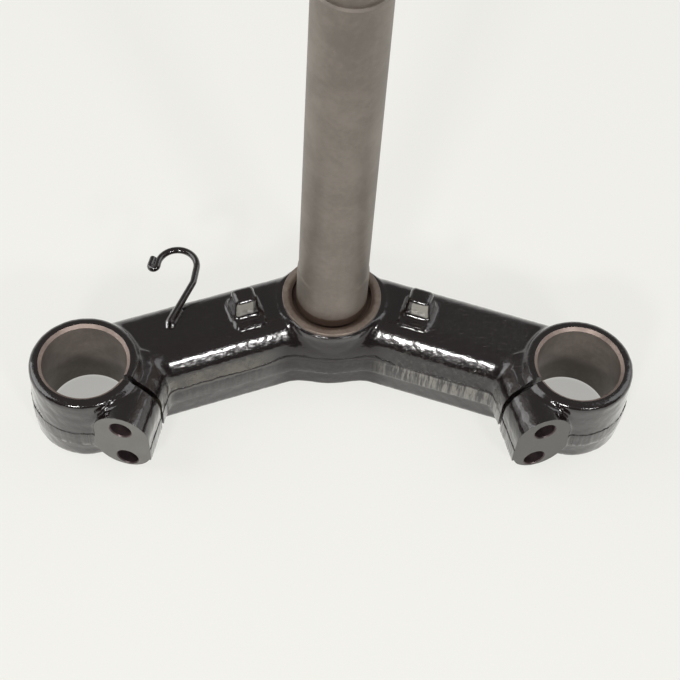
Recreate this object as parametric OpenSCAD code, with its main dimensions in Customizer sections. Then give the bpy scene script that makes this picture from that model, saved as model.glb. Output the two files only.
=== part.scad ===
// Lower yoke and steering stem of a motorcycle front fork, with a welded wire hose guide.
// The steering axis is the Z axis, and Z is 0 at the bearing seat on top of the boss.
// The forks stand in front of it, towards -Y, and X runs across the motorcycle.

/* [Fork layout] */
// Distance between the two fork tube axes
fork_pitch = 240; // [225:1:260]
// Distance of the fork tube axes in front of the steering axis
fork_offset = 42; // [36:0.5:50]
// Diameter of the fork tubes, and of the clamp bores
fork_tube_d = 41; // [39:0.5:43]

/* [Fork clamps] */
// Wall of the clamp around its bore, at its top edge
clamp_wall = 6; // [5:0.25:8]
// Height of the clamp tops above the bearing seat
clamp_top_z = 1.5; // [0:0.25:4]
// Rounding of the upper and lower outer edges of the clamps
clamp_edge_r = 2.5; // [1:0.25:3.5]
// Draft of the clamp walls, in degrees
clamp_draft = 1.5; // [0.5:0.25:2.5]
// Chamfer at the mouths of the clamp bores
clamp_chamfer = 1.2; // [0.5:0.1:2]

/* [Forging] */
// Depth of the underside below the bearing seat
underside_depth = 41; // [38:0.5:46]
// Depth of the parting line of the forging dies below the bearing seat
parting_depth = 22; // [19:0.5:25]
// Height of the band left where the flash was trimmed off
flash_h = 8.5; // [5:0.5:11]
// How far that band stands out from the walls above it
flash_out = 0.6; // [0.4:0.1:1]
// How far it stands out from the walls below it
flash_step = 0.2; // [0.1:0.05:0.3]
// Draft of the walls above the parting line, in degrees
upper_draft = 6; // [3:0.5:8]
// Draft of the walls below the flash band, in degrees
lower_draft = 3; // [1:0.5:5]

/* [Arms] */
// Width of each arm at the parting line
arm_w = 39.7; // [38:0.1:41]
// How far the middle of each arm lies behind the line from the steering axis to the fork axis
arm_set_back = 5.2; // [4.6:0.2:6]
// Depth of the arm tops below the bearing seat
arm_top_depth = 2; // [1:0.25:4]
// Rounding along the upper edges of the arms
arm_edge_r = 5; // [3:0.25:7]
// Rounding along the lower edges of the arms
arm_foot_r = 3.5; // [2:0.25:5]

/* [Boss] */
// Diameter of the boss at the parting line
boss_d = 53; // [51:0.5:57]
// Draft of the boss wall above the parting line, in degrees
boss_draft = 2; // [0.5:0.5:4]
// Rounding of the shoulder under the bearing seat
boss_edge_r = 1.5; // [0.5:0.25:2.5]
// Rounding of the lower edge of the boss
boss_foot_r = 2; // [1:0.25:3]
// Width of the web that fills the front corners between boss and arms, at the parting line
web_w = 54; // [44:1:64]
// Width of that web at its top
web_top_w = 26; // [16:1:34]
// Depth of the top of that web below the bearing seat
web_top_depth = 5; // [3.5:0.5:10]
// Distance of the web's front from the steering axis, at the parting line
web_reach = 25.5; // [24.5:0.25:26.25]
// Distance of the web's front from the steering axis, at its top
web_top_reach = 17.8; // [14:0.2:22]
// How far the web's front corners stand back from its middle
web_corner_back = 2.5; // [1.5:0.1:4]

/* [Bearing seat] */
// Outer diameter of the machined seat
seat_d = 49.4; // [46:0.2:50]
// Height of the seat above its shoulder
seat_h = 1.5; // [1:0.25:3]
// Diameter where the flat of the seat ends and its inner chamfer begins
seat_flat_d = 44.4; // [42:0.2:45]
// Diameter of the recess round the stem
recess_d = 39.6; // [38:0.2:41]
// Depth of that recess below the seat
recess_depth = 3.5; // [2:0.25:6]
// Depth of the inner chamfer of the seat
seat_chamfer = 1; // [0.5:0.1:1.5]

/* [Pinch lugs] */
// Angle by which the pinch bolts splay outwards from straight ahead
pinch_splay = 16; // [14:0.5:20]
// Angle of the slit from straight across, turned towards the front
slit_angle = 24; // [20:0.5:28]
// Width of the slit
slit_w = 2.8; // [2:0.1:3.6]
// Distance of the bolt face in front of the fork axis, along the bolts
bolt_face_reach = 25.8; // [24:0.1:29]
// Distance of the pinch bolts from the fork axis, halfway between the two
bolt_side = 27.6; // [27.2:0.1:29]
// Distance between the two pinch bolts of one clamp
bolt_spacing = 23; // [20:0.5:25]
// How much further from the fork axis the lower bolt lies than the upper one
bolt_lean = 2.2; // [0:0.2:3]
// Depth of the middle of the bolt pair below the bearing seat
bolt_mid_depth = 21.5; // [19.5:0.25:22.5]
// Diameter of the clearance holes through the lugs
bolt_hole_d = 10.4; // [9:0.1:11]
// Chamfer at the mouths of the clearance holes
bolt_hole_chamfer = 0.5; // [0.2:0.1:1]
// Diameter of the tapped holes behind the slit
tap_d = 8.5; // [8:0.1:9]
// Depth of the tapped holes from the slit
tap_depth = 22; // [16:1:24]
// Angle of the cone that ends them, from the face of the drill
tap_point = 31; // [29:1:31]
// Distance of the lug's middle from the fork axis at the bolt face
lug_face_side = 26.8; // [26:0.1:28]
// Distance of the lug's middle from the fork axis at its root
lug_root_side = 25; // [23:0.1:27]
// Corner radius of the lug's outline at the bolt face
lug_face_r = 13.8; // [13:0.1:14]
// Corner radius of the lug's outline at its root
lug_root_r = 14.2; // [14.1:0.1:15]
// How far the lug's root lies behind the fork axis
lug_root_reach = 15; // [13:0.5:17]
// Depth of the lug's top at the bolt face below the bearing seat
lug_top_depth = 0.3; // [0:0.1:1]
// Depth of the lug's lower edge below the bearing seat
lug_foot_depth = 39.8; // [38.5:0.1:40.5]

/* [Steering stops] */
// Distance of each stop lug from the steering axis, along the arm
stop_reach = 43.6; // [40:0.5:55]
// How far the stop lugs lie behind the line from the steering axis to the fork axis
stop_set_back = 7.4; // [5:0.2:9]
// Length of a stop lug's foot along the arm
stop_l = 14; // [11:0.5:17]
// Width of a stop lug's foot across the arm
stop_w = 12.5; // [9:0.5:14]
// Length of a stop lug's top along the arm
stop_top_l = 11; // [8:0.5:13]
// Width of a stop lug's top across the arm
stop_top_w = 9; // [6:0.5:11]
// Height of the stop lugs above the arm
stop_h = 12; // [9:0.5:15]
// Rounding of the upper edges of the stop lugs
stop_edge_r = 1.8; // [0.8:0.1:2.5]
// Fillet round the feet of the stop lugs
stop_fillet_r = 3.5; // [2:0.25:4]

/* [Steering stem] */
// Diameter of the stem between its bearing journals
stem_d = 34.3; // [32:0.1:36]
// Diameter of the lower journal
journal_d = 35.4; // [34.6:0.1:36]
// Diameter of the stem's foot, which is pressed into the boss from below
press_d = 36.6; // [36.2:0.1:37]
// Height of the lower journal above the bearing seat
journal_h = 23; // [18:0.5:30]
// Height of the shoulder under the upper journal, above the bearing seat
stem_shoulder_z = 205; // [196:1:240]
// Diameter of the upper journal
upper_journal_d = 30; // [28:0.1:31]
// Length of the upper journal
upper_journal_l = 22; // [16:0.5:30]
// Diameter of the threaded end
stem_thread_d = 28; // [25:0.1:28]
// Length of the threaded end
stem_thread_l = 24; // [18:0.5:32]
// Diameter of the bore through the stem
stem_bore_d = 20; // [16:0.5:22]
// Chamfer at the ends and shoulders of the stem
stem_chamfer = 1; // [0.5:0.1:1.5]

/* [Hose guide] */
// Diameter of the wire
wire_d = 3; // [2.5:0.1:4]
// How much thinner the wire is in its bends, where it was stretched
wire_thinning = 0.06; // [0.04:0.01:0.1]
// Distance of the wire's end from the steering axis, along the left arm
guide_reach = 81.5; // [76:0.5:90]
// How far the wire's end lies behind the middle of the arm
guide_back = 4.5; // [2:0.5:7]
// Angle of the straight leg from straight across
guide_leg_angle = 64; // [55:1:75]
// Length of the straight leg, which starts on the arm
guide_leg_l = 24; // [20:0.5:30]
// Bend radius between the leg and the loop
guide_bend_r = 13; // [8:0.5:18]
// Length of the straight run before the loop
guide_run_l = 7; // [4:0.5:12]
// Radius of the loop, to the middle of the wire
guide_loop_r = 9.7; // [8:0.1:12]
// Angle that the loop turns through
guide_loop_angle = 196; // [170:1:215]
// Length of the flat at the top of the loop, between its two bends
guide_crown_l = 1; // [0.6:0.1:3]
// Length of the straight before each bend of the turned-out end
guide_end_run_l = 0.8; // [0.6:0.1:2]
// Bend radius of the turned-out end
guide_end_r = 3.2; // [2.6:0.1:4]
// Angle of the bend that turns the end outwards
guide_out_angle = 100; // [80:1:110]
// Angle of the bend that turns the end up
guide_up_angle = 80; // [60:1:100]
// Length of the upturned tip
guide_tip_l = 2.5; // [1.5:0.1:4]
// Distance of the weld from the end of the leg
weld_start = 1; // [0.5:0.5:3]
// Length of the weld along the leg
weld_l = 10; // [6:0.5:14]
// How far the weld reaches up the wire, above its middle
weld_rise = 0.6; // [0.2:0.1:0.9]
// Thickness of the weld under the wire
weld_gap = 0.4; // [0.2:0.1:0.8]
// Width of the weld on each side of the wire
weld_w = 3; // [2:0.1:4]

/* [Hidden] */
// Overlap of pieces that are joined, and overshoot of cuts
eps = 0.05;
over = 1;
bend_overlap = 0.2;
// How far the drafted walls run into the flash band
band_overlap = 0.5;
round_fn = 96;
loft_fn = 32;
// How far each arm reaches past the axes of the boss and of the clamp, inside them
arm_overrun = 3;

fork_x = fork_pitch / 2;
fork_y = -fork_offset;
arm_sweep = atan2(fork_offset, fork_x);
arm_run = sqrt(fork_x * fork_x + fork_offset * fork_offset);
underside_z = -underside_depth;
parting_z = -parting_depth;
flash_z = parting_z - flash_h;
arm_top_z = -arm_top_depth;

clamp_bore_r = fork_tube_d / 2;
clamp_r = clamp_bore_r + clamp_wall;
clamp_parting_r = clamp_r + (clamp_top_z - parting_z) * tan(clamp_draft);
bolt_gap = slit_w / 2;
slit_turn = slit_angle - pinch_splay;
slit_reach = bolt_side + lug_root_r + over;
stem_end_z = stem_shoulder_z + upper_journal_l + stem_thread_l;
wire_r = wire_d / 2;

// Half width, at height z, of a drafted wall that is half_w wide at the parting line
function upper_half(half_w, draft, z) = half_w - (z - parting_z) * tan(draft);
function lower_half(half_w, z) = half_w + flash_out - flash_step - (flash_z - z) * tan(lower_draft);

// Distance of the pinch bolt k from the fork axis, and its height: k is 1 above and -1 below
function bolt_x(k) = bolt_side - k * bolt_lean / 2;
function bolt_z(k) = -bolt_mid_depth + k * bolt_spacing / 2;

module both_sides() {
    children();
    mirror([1, 0, 0]) children();
}

// Left arm: local X runs from the steering axis to the fork axis, local Y towards the back
module arm_frame() {
    rotate([0, 0, 180 + arm_sweep]) mirror([0, 1, 0]) children();
}

// Left clamp: local X runs inwards along the lugs, local -Y out of the bolt face
module clamp_frame() {
    translate([-fork_x, fork_y, 0]) rotate([0, 0, -pinch_splay]) children();
}

// Right half of the section through a forging that is half_w wide at the parting line,
// without its flash band
module drafted_half(half_w, draft, top_z, edge_r, foot_r) {
    upper = upper_half(half_w, draft, top_z - edge_r);
    lower = lower_half(half_w, underside_z + foot_r);
    band_top = parting_z - band_overlap;
    band_foot = flash_z + band_overlap;
    polygon([
        [0, underside_z], [lower - foot_r, underside_z], [lower, underside_z + foot_r],
        [lower_half(half_w, band_foot), band_foot], [upper_half(half_w, draft, band_top), band_top],
        [upper, top_z - edge_r], [upper - edge_r, top_z], [0, top_z]
    ]);
    translate([upper - edge_r, top_z - edge_r]) circle(r = edge_r, $fn = round_fn);
    translate([lower - foot_r, underside_z + foot_r]) circle(r = foot_r, $fn = round_fn);
}

module arm_section() {
    for (s = [0, 1])
        mirror([s, 0, 0])
            drafted_half(arm_w / 2, upper_draft, arm_top_z, arm_edge_r, arm_foot_r);
}

module arm() {
    arm_frame()
        translate([-arm_overrun, arm_set_back, 0])
            rotate([90, 0, 90])
                linear_extrude(height = arm_run + 2 * arm_overrun) arm_section();
}

module clamp_body() {
    translate([-fork_x, fork_y, 0])
        rotate_extrude($fn = round_fn)
            drafted_half(clamp_parting_r, clamp_draft, clamp_top_z, clamp_edge_r, clamp_edge_r);
}

module boss_body() {
    rotate_extrude($fn = round_fn)
        drafted_half(boss_d / 2, boss_draft, -seat_h, boss_edge_r, boss_foot_r);
    translate([0, 0, -seat_h - over])
        cylinder(d = seat_d, h = seat_h + over, $fn = round_fn);
}

// Web in the front corners between boss and arms: narrow at its top, full width below
module web_outline(w, front) {
    corner = web_corner_back - front;
    polygon([[-w / 2, arm_overrun], [-w / 2, corner], [-w / 4, -front],
             [w / 4, -front], [w / 2, corner], [w / 2, arm_overrun]]);
}

module web_slice(w, front, z) {
    translate([0, 0, z])
        linear_extrude(height = eps) web_outline(w, front);
}

module front_web() {
    hull() {
        web_slice(web_top_w, web_top_reach, -web_top_depth - eps);
        web_slice(web_w, web_reach, parting_z - band_overlap);
    }
    hull() {
        web_slice(web_w, web_reach + flash_out - flash_step, flash_z + band_overlap);
        web_slice(web_w, web_reach, underside_z);
    }
}

// Band round the whole forging where the flash was trimmed off
module flash_band() {
    translate([0, 0, flash_z])
        linear_extrude(height = flash_h) {
            both_sides() {
                arm_frame()
                    translate([-arm_overrun, arm_set_back - arm_w / 2 - flash_out])
                        square([arm_run + 2 * arm_overrun, arm_w + 2 * flash_out]);
                translate([-fork_x, fork_y])
                    circle(r = clamp_parting_r + flash_out, $fn = round_fn);
            }
            circle(r = boss_d / 2 + flash_out, $fn = round_fn);
            web_outline(web_w, web_reach + flash_out);
        }
}

// Outline of the pinch lug at one end: an upper and a lower disc
module lug_outline(x, y, r, top_z) {
    for (z = [top_z - r, -lug_foot_depth + r])
        translate([x, y, z])
            rotate([90, 0, 0]) cylinder(r = r, h = eps, $fn = loft_fn);
}

module pinch_lug() {
    clamp_frame()
        hull() {
            lug_outline(lug_face_side, -bolt_face_reach + eps, lug_face_r, -lug_top_depth);
            lug_outline(lug_root_side, lug_root_reach, lug_root_r, arm_top_z - eps);
        }
}

// Everything cut at one clamp: bore, chamfers, slit and pinch bolt holes
module clamp_cuts() {
    height = clamp_top_z - underside_z;
    translate([-fork_x, fork_y, underside_z]) {
        translate([0, 0, -over])
            cylinder(r = clamp_bore_r, h = height + 2 * over, $fn = round_fn);
        translate([0, 0, height - clamp_chamfer])
            cylinder(r1 = clamp_bore_r, r2 = clamp_bore_r + clamp_chamfer + eps,
                     h = clamp_chamfer + eps, $fn = round_fn);
        translate([0, 0, -eps])
            cylinder(r1 = clamp_bore_r + clamp_chamfer / 2 + eps, r2 = clamp_bore_r,
                     h = clamp_chamfer / 2 + eps, $fn = round_fn);
        rotate([0, 0, -slit_angle])
            translate([0, -bolt_gap, -over])
                cube([slit_reach + over, slit_w, height + 2 * over]);
    }
    clamp_frame()
        for (k = [-1, 1])
            translate([bolt_x(k), 0, bolt_z(k)]) pinch_hole(bolt_x(k));
}

// Pinch bolt hole at a distance x from the fork axis, with its axis along local Y
module pinch_hole(x) {
    slit_y = -x * tan(slit_turn);
    rotate([90, 0, 0]) {
        translate([0, 0, -slit_y])
            cylinder(d = bolt_hole_d, h = bolt_face_reach + slit_y + over, $fn = round_fn);
        translate([0, 0, bolt_face_reach - bolt_hole_chamfer])
            cylinder(d1 = bolt_hole_d, d2 = bolt_hole_d + 2 * bolt_hole_chamfer + 2 * eps,
                     h = bolt_hole_chamfer + eps, $fn = round_fn);
    }
    translate([0, slit_y, 0]) rotate([-90, 0, 0]) {
        cylinder(d = tap_d, h = tap_depth, $fn = round_fn);
        translate([0, 0, tap_depth])
            cylinder(d1 = tap_d, d2 = 0, h = tap_d / 2 * tan(tap_point), $fn = round_fn);
    }
}

// Section through a stop lug: drafted sides, rounded top edges and fillets at the foot
module stop_section(foot, top) {
    draft = atan2((foot - top) / 2, stop_h);
    fillet_x = foot / 2 + stop_fillet_r * (1 / cos(draft) - tan(draft));
    side_x = fillet_x - stop_fillet_r * cos(draft);
    side_z = stop_fillet_r * (1 - sin(draft));
    for (s = [0, 1])
        mirror([s, 0, 0]) {
            polygon([
                [0, -over], [foot / 2, -over], [foot / 2, 0],
                [top / 2 + stop_edge_r * tan(draft), stop_h - stop_edge_r],
                [top / 2 - stop_edge_r, stop_h], [0, stop_h]
            ]);
            translate([top / 2 + stop_edge_r * (tan(draft) - 1), stop_h - stop_edge_r])
                circle(r = stop_edge_r, $fn = round_fn);
            difference() {
                polygon([[0, -over], [fillet_x, -over], [fillet_x, 0], [side_x, side_z], [0, side_z]]);
                translate([fillet_x, stop_fillet_r])
                    circle(r = stop_fillet_r + eps / 2, $fn = round_fn);
            }
        }
}

module stop_lug() {
    reach = stop_l + stop_fillet_r + over;
    arm_frame()
        translate([stop_reach, stop_set_back, arm_top_z])
            intersection() {
                rotate([90, 0, 0])
                    translate([0, 0, -reach])
                        linear_extrude(height = 2 * reach) stop_section(stop_l, stop_top_l);
                rotate([90, 0, 90])
                    translate([0, 0, -reach])
                        linear_extrude(height = 2 * reach) stop_section(stop_w, stop_top_w);
            }
}

module lower_yoke() {
    color([0.1, 0.09, 0.09])
    difference() {
        union() {
            both_sides() {
                arm();
                clamp_body();
                pinch_lug();
                stop_lug();
            }
            boss_body();
            front_web();
            flash_band();
        }
        both_sides() clamp_cuts();
        // Press seat of the stem, with the recess and the chamfer of the bearing seat above it
        translate([0, 0, underside_z - over])
            cylinder(d = press_d, h = underside_depth + 2 * over, $fn = round_fn);
        translate([0, 0, -recess_depth])
            cylinder(d = recess_d, h = recess_depth + over, $fn = round_fn);
        translate([0, 0, -seat_chamfer])
            cylinder(d1 = recess_d, d2 = seat_flat_d, h = seat_chamfer + eps, $fn = round_fn);
    }
}

module steering_stem() {
    c = stem_chamfer;
    bore = stem_bore_d / 2;
    foot = press_d / 2;
    lower = journal_d / 2;
    tube = stem_d / 2;
    upper = upper_journal_d / 2;
    thread = stem_thread_d / 2;
    thread_z = stem_end_z - stem_thread_l;
    color([0.48, 0.46, 0.42])
    rotate_extrude($fn = round_fn)
        polygon([
            [bore + c, underside_z], [foot - c, underside_z], [foot, underside_z + c],
            [foot, -recess_depth], [lower, -recess_depth],
            [lower, journal_h - (lower - tube)], [tube, journal_h],
            [tube, stem_shoulder_z - c], [tube - c, stem_shoulder_z],
            [upper, stem_shoulder_z], [upper, thread_z - (upper - thread)],
            [thread, thread_z], [thread, stem_end_z - c], [thread - c, stem_end_z],
            [bore + c, stem_end_z], [bore, stem_end_z - c], [bore, underside_z + c]
        ]);
}

// Wire along +X from the origin, one step at a time: [length] is straight, and
// [radius, angle, roll] bends to the left after a turn of roll about the wire.
// Each bend reaches a little way into the straights before and after it.
module wire(steps, i = 0) {
    if (i < len(steps)) {
        step = steps[i];
        if (len(step) == 1) {
            rotate([0, 90, 0]) cylinder(r = wire_r, h = step[0], $fn = round_fn / 2);
            translate([step[0], 0, 0]) wire(steps, i + 1);
        } else {
            rotate([step[2], 0, 0]) translate([0, step[0], 0]) {
                wire_bend(step[0], step[1]);
                rotate([0, 0, step[1]])
                    translate([0, -step[0], 0]) wire(steps, i + 1);
            }
        }
    } else {
        wire_end();
    }
}

module wire_bend(r, angle) {
    extra = asin(bend_overlap / r);
    rotate([0, 0, -90 - extra])
        rotate_extrude(angle = angle + 2 * extra, $fn = round_fn)
            translate([r, 0]) circle(d = wire_d - wire_thinning, $fn = round_fn / 2);
}

module wire_end() {
    rotate([0, 90, 0])
        cylinder(r1 = wire_r, r2 = wire_r / 2, h = wire_r / 2, $fn = round_fn / 2);
}

module hose_guide() {
    steps = [
        [guide_leg_l],
        [guide_bend_r, 90 - guide_leg_angle, 0],
        [guide_run_l],
        [guide_loop_r, guide_loop_angle / 2, 0],
        [guide_crown_l],
        [guide_loop_r, guide_loop_angle / 2, 0],
        [guide_end_run_l],
        [guide_end_r, guide_out_angle, 180],
        [guide_end_run_l],
        [guide_end_r, guide_up_angle, -90],
        [guide_tip_l]
    ];
    color([0.1, 0.09, 0.09])
    rotate([0, 0, 180 + arm_sweep])
        translate([guide_reach, -arm_set_back - guide_back, arm_top_z + weld_gap + wire_r])
            rotate([0, 0, guide_leg_angle - 180 - arm_sweep]) {
                wire(steps);
                mirror([1, 0, 0]) wire_end();
                weld();
            }
}

// Weld under the leg and along both its sides, flat on the arm
module weld() {
    base_z = -wire_r - weld_gap;
    base_x = wire_r + weld_w;
    top_x = wire_r - weld_rise / 2;
    translate([weld_start, 0, 0])
        rotate([90, 0, 90])
            linear_extrude(height = weld_l)
                polygon([[-base_x, base_z], [base_x, base_z],
                         [top_x, weld_rise], [-top_x, weld_rise]]);
}

lower_yoke();
steering_stem();
hose_guide();
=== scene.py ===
"""Looks of the lower yoke, its steering stem and its hose guide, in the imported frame."""
import math
import bpy
import bmesh
import numpy as np
from mathutils import Matrix, Vector


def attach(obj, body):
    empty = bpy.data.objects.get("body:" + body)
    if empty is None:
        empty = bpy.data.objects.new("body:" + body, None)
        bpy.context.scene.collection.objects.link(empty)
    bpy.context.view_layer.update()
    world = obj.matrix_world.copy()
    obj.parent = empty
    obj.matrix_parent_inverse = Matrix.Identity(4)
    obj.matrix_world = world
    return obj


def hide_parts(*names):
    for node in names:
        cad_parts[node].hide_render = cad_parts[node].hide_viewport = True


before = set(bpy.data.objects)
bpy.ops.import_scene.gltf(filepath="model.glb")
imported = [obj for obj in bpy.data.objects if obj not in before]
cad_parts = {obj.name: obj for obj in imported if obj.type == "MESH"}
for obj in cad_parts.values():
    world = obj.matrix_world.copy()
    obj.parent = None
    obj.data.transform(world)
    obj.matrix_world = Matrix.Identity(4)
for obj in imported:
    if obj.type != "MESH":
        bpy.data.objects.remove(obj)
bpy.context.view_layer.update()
MM = 0.001


def tan_d(degrees):
    return math.tan(math.radians(degrees))


# Sizes in mm. They are the CAD's, but for the parting line's height and the arms' front edge.
FORK_X, FORK_Y = 120.0, -42.0
SWEEP = math.atan2(-FORK_Y, FORK_X)
RUN = math.hypot(FORK_X, FORK_Y)
# Heights of the arms' tops, the parting line, the flash band's underside and the yoke's underside.
TOP, PART, FLASH, UNDER = -2.0, -21.0, -30.5, -41.0
# An arm's width, how far back its middle lies, and the roundings of its front and back edges.
ARM_W, SET_BACK, ARM_EDGE, BACK_EDGE = 39.7, 5.2, 12.0, 7.0
# The slope that flattens the arms' front edge: how its normal leans, how deep it cuts, its rounding.
EASE_LEAN, EASE, EASE_EDGE = math.radians(60), 0.15, 0.5
# The fork clamps: bore, top, draft, and the outer radius at the parting line, from 26.5 at the top.
BORE, RING_TOP, RING_DRAFT = 20.5, 1.5, 1.5
RING_R = 26.5 + 23.5 * tan_d(RING_DRAFT)
BOSS_R, BOSS_TOP = 26.5, -1.5
# How the pinch lugs and the slits are turned, and where a lug's face and root lie behind the fork axis.
SPLAY, SLIT = math.radians(16.0), math.radians(24.0)
FACE_Y, ROOT_Y = -25.8, 15.0
# A lug's end radius, its middle's distance from the fork axis and its top, at its face and at its root.
LUG_FACE, LUG_ROOT, LUG_UNDER = (13.8, 26.8, -0.3), (14.2, 25.0, -2.05), -39.8
# The pinch bolts: distance from the fork axis, how much further in the lower one is, height, spacing.
BOLT_X, LEAN, BOLT_Z, SPACING = 27.6, 2.2, -21.5, 23.0
# The stop lugs: place along and across an arm, height, and how deep their bodies reach into the arm.
STOP_AT, STOP_HIGH, SUNK = (43.6, 7.4), 12.0, 3.0


# Distance fields of the forging, below 0 inside it
def soft_union(a, b, r):
    """Union with a fillet of radius r where the two surfaces meet."""
    return np.maximum(np.minimum(a, b), r) - np.hypot(np.maximum(r - a, 0), np.maximum(r - b, 0))


def round_cut(a, b, e):
    """Intersection with an outer rounding of radius e."""
    return np.minimum(np.maximum(a, b), -e) + np.hypot(np.maximum(a + e, 0), np.maximum(b + e, 0))


def forged(side, z, half, draft, top, edge, out=0.4, under=3.0, ease=0.0):
    """Section of a forging.

    side is the distance from its middle plane or axis, half its half width at the parting line, draft
    and under the lean of its upper and lower walls, and out what the lower wall stands out further.
    edge rounds its top edge, and ease is how deep a slope cuts into that rounding."""
    upper = half - (z - PART) * tan_d(draft)
    lower = half + out - (FLASH - z) * tan_d(under)
    share = np.clip((z - FLASH) / (PART - FLASH), 0, 1)
    width = np.where(z > PART, upper, np.where(z < FLASH, lower, lower + (upper - lower) * share))
    wall = (side - width) * math.cos(math.radians(draft))
    d = round_cut(wall, z - top, edge)
    if ease:
        slope = (wall + edge) * math.sin(EASE_LEAN) + (z - top + edge) * math.cos(EASE_LEAN) - edge + ease
        d = round_cut(d, slope, EASE_EDGE)
    return d


def arm_local(x, y, s):
    """Coordinates along and across the arm: s is -1 for the left arm and 1 for the right one."""
    c, n = math.cos(SWEEP), math.sin(SWEEP)
    return s * x * c - y * n, s * x * n + y * c


def clamp_local(x, y, s):
    """Coordinates of a clamp: inwards along the lugs, and back from the bolt face."""
    c, n = math.cos(SPLAY), math.sin(SPLAY)
    u, v = FORK_X - s * x, y - FORK_Y
    return u * c - v * n, u * n + v * c


def ring_field(x, y, z, s):
    """The ring of a fork clamp."""
    r = np.hypot(x - s * FORK_X, y - FORK_Y)
    return forged(r, z, half=RING_R, draft=RING_DRAFT, top=RING_TOP, edge=2.5)


def arm_field(x, y, z, s):
    """An arm, whose front wall leans more than its back wall. It runs a little past both its ends."""
    a, b = arm_local(x, y, s)
    back = forged(b - SET_BACK, z, half=ARM_W / 2, draft=6.0, top=TOP, edge=BACK_EDGE)
    front = forged(
        SET_BACK - b, z, half=ARM_W / 2 + 1.7, draft=11.0, top=TOP, edge=ARM_EDGE, out=0.9, under=0.0,
        ease=EASE)
    past = 3.0
    return np.maximum(np.maximum(front, back), np.maximum(-past - a, a - RUN - past))


def boss_field(x, y, z):
    """The boss round the stem."""
    return forged(np.hypot(x, y), z, half=BOSS_R, draft=2.0, top=BOSS_TOP, edge=1.5)


def lug_field(x, y, z, s):
    """A pinch lug, from a little in front of its machined face to its root in the arm."""
    p, q = clamp_local(x, y, s)
    t = np.clip((q - FACE_Y) / (ROOT_Y - FACE_Y), 0, 1)
    r, middle, top = (face + (root - face) * t for face, root in zip(LUG_FACE, LUG_ROOT))
    high, low = top - r, LUG_UNDER + r
    dz = z - np.clip(z, np.minimum(low, high), np.maximum(low, high))
    d = np.hypot(p - middle, dz) - r
    spare = 1.5
    return np.maximum(d, np.maximum(q - ROOT_Y, FACE_Y - spare - q))


def web_field(x, y, z):
    """The plate between the arms in front of the boss, flat in its middle and set back at its ends."""
    flat, half, set_back, inside = 13.5, 27.0, 2.5, 3.0
    back = np.maximum(0, np.abs(x) - flat) * set_back / flat
    d = forged(back - y, z, half=25.3, draft=6.0, top=-4.0, edge=ARM_EDGE, out=0.0, ease=EASE)
    return np.maximum(d, np.maximum(np.abs(x) - half, y - inside))


def stop_field(x, y, z, s):
    """A stop lug on an arm's top. It narrows upwards."""
    a, b = arm_local(x, y, s)
    h = z - TOP
    along = (np.abs(a - STOP_AT[0]) - (7.0 - h * 1.5 / STOP_HIGH)) * 0.99
    across = (np.abs(b - STOP_AT[1]) - (6.25 - h * 1.75 / STOP_HIGH)) * 0.99
    d = round_cut(round_cut(along, across, 2.2), h - STOP_HIGH, 2.0)
    return np.maximum(d, -h - SUNK)


def pad_field(x, y, z, s):
    """The low pad that a stop stands on, longer in front of it."""
    a, b = arm_local(x, y, s)
    h = z - TOP
    half_length, half_width, height = 7.8, 9.6, 0.75
    d = round_cut(np.abs(a - 43.5) - half_length, np.abs(b - 4.9) - half_width, 2.3)
    return np.maximum(round_cut(d, h - height, 0.7), -h - SUNK)


def forging_field(P):
    """The whole forging before it is machined, without its flash band."""
    x, y, z = P[:, 0], P[:, 1], P[:, 2]
    arms = np.minimum(arm_field(x, y, z, -1), arm_field(x, y, z, 1))
    out = np.maximum(soft_union(boss_field(x, y, z), arms, r=3.5), z - BOSS_TOP)
    out = soft_union(out, web_field(x, y, z), r=2.2)
    innermost = 18
    for s in (-1, 1):
        near = s * x > innermost
        if not near.any():
            continue
        place = x[near], y[near], z[near], s
        part = soft_union(out[near], ring_field(*place), r=2.2)
        part = soft_union(part, lug_field(*place), r=2.6)
        part = soft_union(part, pad_field(*place), r=0.6)
        out[near] = soft_union(part, stop_field(*place), r=2.8)
    return round_cut(out, UNDER - z, 1.6)


# The surface of a distance field
def raw_gradient(f, P):
    """Gradient of f from its differences over a small step."""
    step = 0.04
    return np.stack([(f(P + v) - f(P - v)) / (2 * step) for v in np.eye(3) * step], axis=1)


def gradient(f, P):
    """Direction in which f grows, of length 1."""
    g = raw_gradient(f, P)
    return g / np.maximum(np.linalg.norm(g, axis=1), 1e-6)[:, None]


def project(f, P):
    """Moves the points onto the surface where f is 0, in three steps."""
    least_slope = 0.15
    for _ in range(3):
        g = raw_gradient(f, P)
        P = P - g * (f(P) / np.maximum((g ** 2).sum(1), least_slope))[:, None]
    return P


def shifted(axis, along, across):
    """An index of the grid: along picks on one axis and across on the other two."""
    index = [across] * 3
    index[axis] = along
    return tuple(index)


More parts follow.
